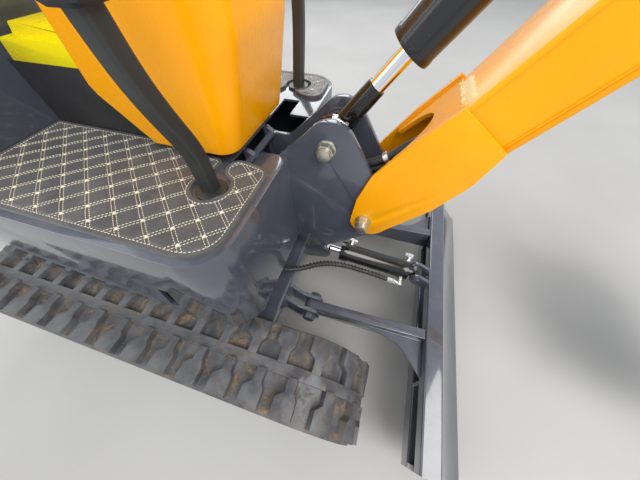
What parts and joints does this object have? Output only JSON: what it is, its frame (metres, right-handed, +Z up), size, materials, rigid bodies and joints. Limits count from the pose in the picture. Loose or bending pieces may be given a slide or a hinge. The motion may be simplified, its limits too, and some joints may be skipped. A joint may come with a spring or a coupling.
{
  "type": "mini excavator",
  "caption": "Tracked mini excavator of the one tonne class with canopy, dozer blade, boom, arm and toothed bucket on hydraulic cylinders.",
  "frame": {"origin": "on the ground under the slew axis", "axes": "+X to the front of the machine, +Y to its left, +Z up"},
  "size_m": [2.5387, 0.93, 2.18],
  "materials": {
    "rubber": "moulded black rubber, matt with worn grey lug faces",
    "dark_paint": "gloss dark blue-grey paint",
    "dark_steel": "dark painted castings",
    "steel": "bare steel",
    "black_gloss": "gloss black paint",
    "chrome": "hard chrome",
    "zinc": "zinc plated, slightly yellow",
    "mat": "quilted black leatherette with cream stitching",
    "orange": "gloss orange-yellow paint",
    "yellow": "bright yellow moulding",
    "black_plastic": "textured black plastic",
    "black_satin": "satin black paint",
    "vinyl": "black vinyl"
  },
  "bodies": {
    "undercarriage": {"track_right": "rubber", "track_left": "rubber", "track_frame_right": "dark_paint", "track_frame_left": "dark_paint", "rollers_right": "dark_steel", "rollers_left": "dark_steel", "sprocket_right": "dark_steel", "sprocket_left": "dark_steel", "centre_frame": "dark_paint", "front_cross_tube": "dark_paint", "rear_cross_tube": "dark_paint", "slew_ring_lower": "steel"},
    "blade": {"blade_board": "dark_paint", "push_arm_right": "dark_paint", "push_arm_left": "dark_paint"},
    "blade_barrel": {"blade_cylinder_barrel": "black_gloss"},
    "blade_rod": {"blade_cylinder_rod": "chrome"},
    "house": {"slew_ring_upper": "steel", "house_tub": "dark_paint", "counterweight": "dark_paint", "boom_support": "dark_paint", "support_bolts": "zinc", "floor_mat_right": "mat", "floor_mat_left": "mat", "console": "orange", "plinth": "black_plastic", "plinth_lid": "yellow", "engine_bay": "dark_paint", "engine": "steel", "seat_base": "black_satin", "seat_cushion": "vinyl", "seat_back": "vinyl", "front_post_right": "black_satin", "front_post_left": "black_satin", "rear_post_right": "black_satin", "rear_post_left": "black_satin", "post_collars": "black_plastic", "canopy_roof": "orange", "levers": "black_plastic"},
    "rear_door": {"rear_door": "orange"},
    "boom": {"boom": "orange", "foot_bolt": "zinc"},
    "boom_barrel": {"boom_cylinder_barrel": "black_gloss"},
    "boom_rod": {"boom_cylinder_rod": "chrome"},
    "arm": {"arm": "orange"},
    "arm_barrel": {"arm_cylinder_barrel": "black_gloss"},
    "arm_rod": {"arm_cylinder_rod": "chrome"},
    "bucket": {"bucket": "dark_paint", "bucket_teeth": "steel"},
    "bucket_barrel": {"bucket_cylinder_barrel": "black_gloss"},
    "bucket_rod": {"bucket_cylinder_rod": "chrome"},
    "rocker": {"rocker": "dark_paint"},
    "bucket_link": {"bucket_link": "dark_paint"}
  },
  "joints": [
    {"name": "slew", "type": "hinge", "parent": "undercarriage", "child": "house", "pos_m": [0, 0, 0.38], "axis": [0, 0, 1], "continuous": true},
    {"name": "blade", "type": "hinge", "parent": "undercarriage", "child": "blade", "pos_m": [0.413, 0, 0.205], "axis": [0, -1, 0], "range_deg": [-27, 17]},
    {"name": "blade_barrel_pin", "type": "hinge", "parent": "blade", "child": "blade_barrel", "pos_m": [0.695, 0, 0.247], "axis": [0, -1, 0], "range_deg": [-1.69, 2.39]},
    {"name": "blade_rod_slide", "type": "slide", "parent": "blade_barrel", "child": "blade_rod", "axis": [-0.9954, 0, 0.0958], "range_m": [-0.0217, 0.0332]},
    {"name": "rear_door", "type": "hinge", "parent": "house", "child": "rear_door", "pos_m": [-0.563, 0.337, 0.77], "axis": [0, 0, -1], "range_deg": [0, 100]},
    {"name": "boom", "type": "hinge", "parent": "house", "child": "boom", "pos_m": [0.506, 0, 0.503], "axis": [0, -1, 0], "range_deg": [-80, 15]},
    {"name": "boom_barrel_pin", "type": "hinge", "parent": "boom", "child": "boom_barrel", "pos_m": [0.78282, 0, 1.15637], "axis": [0, -1, 0], "range_deg": [-0.94, 2.83]},
    {"name": "boom_rod_slide", "type": "slide", "parent": "boom_barrel", "child": "boom_rod", "axis": [-0.5948, 0, -0.8039], "range_m": [-0.0442, 0.2271]},
    {"name": "arm", "type": "hinge", "parent": "boom", "child": "arm", "pos_m": [1.4854, 0, 1.30701], "axis": [0, 1, 0], "range_deg": [-92, 22]},
    {"name": "arm_barrel_pin", "type": "hinge", "parent": "boom", "child": "arm_barrel", "pos_m": [0.86974, 0, 1.24812], "axis": [0, 1, 0], "range_deg": [-8.3, 2.36]},
    {"name": "arm_rod_slide", "type": "slide", "parent": "arm_barrel", "child": "arm_rod", "axis": [0.9602, 0, 0.2793], "range_m": [-0.2507, 0.0615]},
    {"name": "bucket", "type": "hinge", "parent": "arm", "child": "bucket", "pos_m": [1.65173, 0, 0.52449], "axis": [0, 1, 0], "range_deg": [-95, 60]},
    {"name": "rocker_pin", "type": "hinge", "parent": "arm", "child": "rocker", "pos_m": [1.67894, 0, 0.67545], "axis": [0, 1, 0], "range_deg": [-57.19, 36.3]},
    {"name": "link_pin", "type": "hinge", "parent": "rocker", "child": "bucket_link", "pos_m": [1.79874, 0, 0.59737], "axis": [0, -1, 0], "range_deg": [-54.17, 34.39]},
    {"name": "bucket_barrel_pin", "type": "hinge", "parent": "arm", "child": "bucket_barrel", "pos_m": [1.64497, 0, 1.08534], "axis": [0, 1, 0], "range_deg": [-11.25, 7.29]},
    {"name": "bucket_rod_slide", "type": "slide", "parent": "bucket_barrel", "child": "bucket_rod", "axis": [0.3005, 0, -0.9538], "range_m": [-0.1029, 0.0657]}
  ],
  "couplings": [
    {"joint": "blade_barrel_pin", "follows": "blade", "ratio": -0.069927},
    {"joint": "blade_rod_slide", "follows": "blade", "m_per_rad": -0.066241},
    {"joint": "boom_barrel_pin", "follows": "boom", "ratio": -0.029082},
    {"joint": "boom_rod_slide", "follows": "boom", "m_per_rad": -0.1612},
    {"joint": "arm_barrel_pin", "follows": "arm", "ratio": 0.084762},
    {"joint": "arm_rod_slide", "follows": "arm", "m_per_rad": 0.15487},
    {"joint": "rocker_pin", "follows": "bucket", "ratio": 0.5967},
    {"joint": "link_pin", "follows": "bucket", "ratio": 0.5649},
    {"joint": "bucket_barrel_pin", "follows": "bucket", "ratio": 0.11315},
    {"joint": "bucket_rod_slide", "follows": "bucket", "m_per_rad": 0.060863}
  ]
}
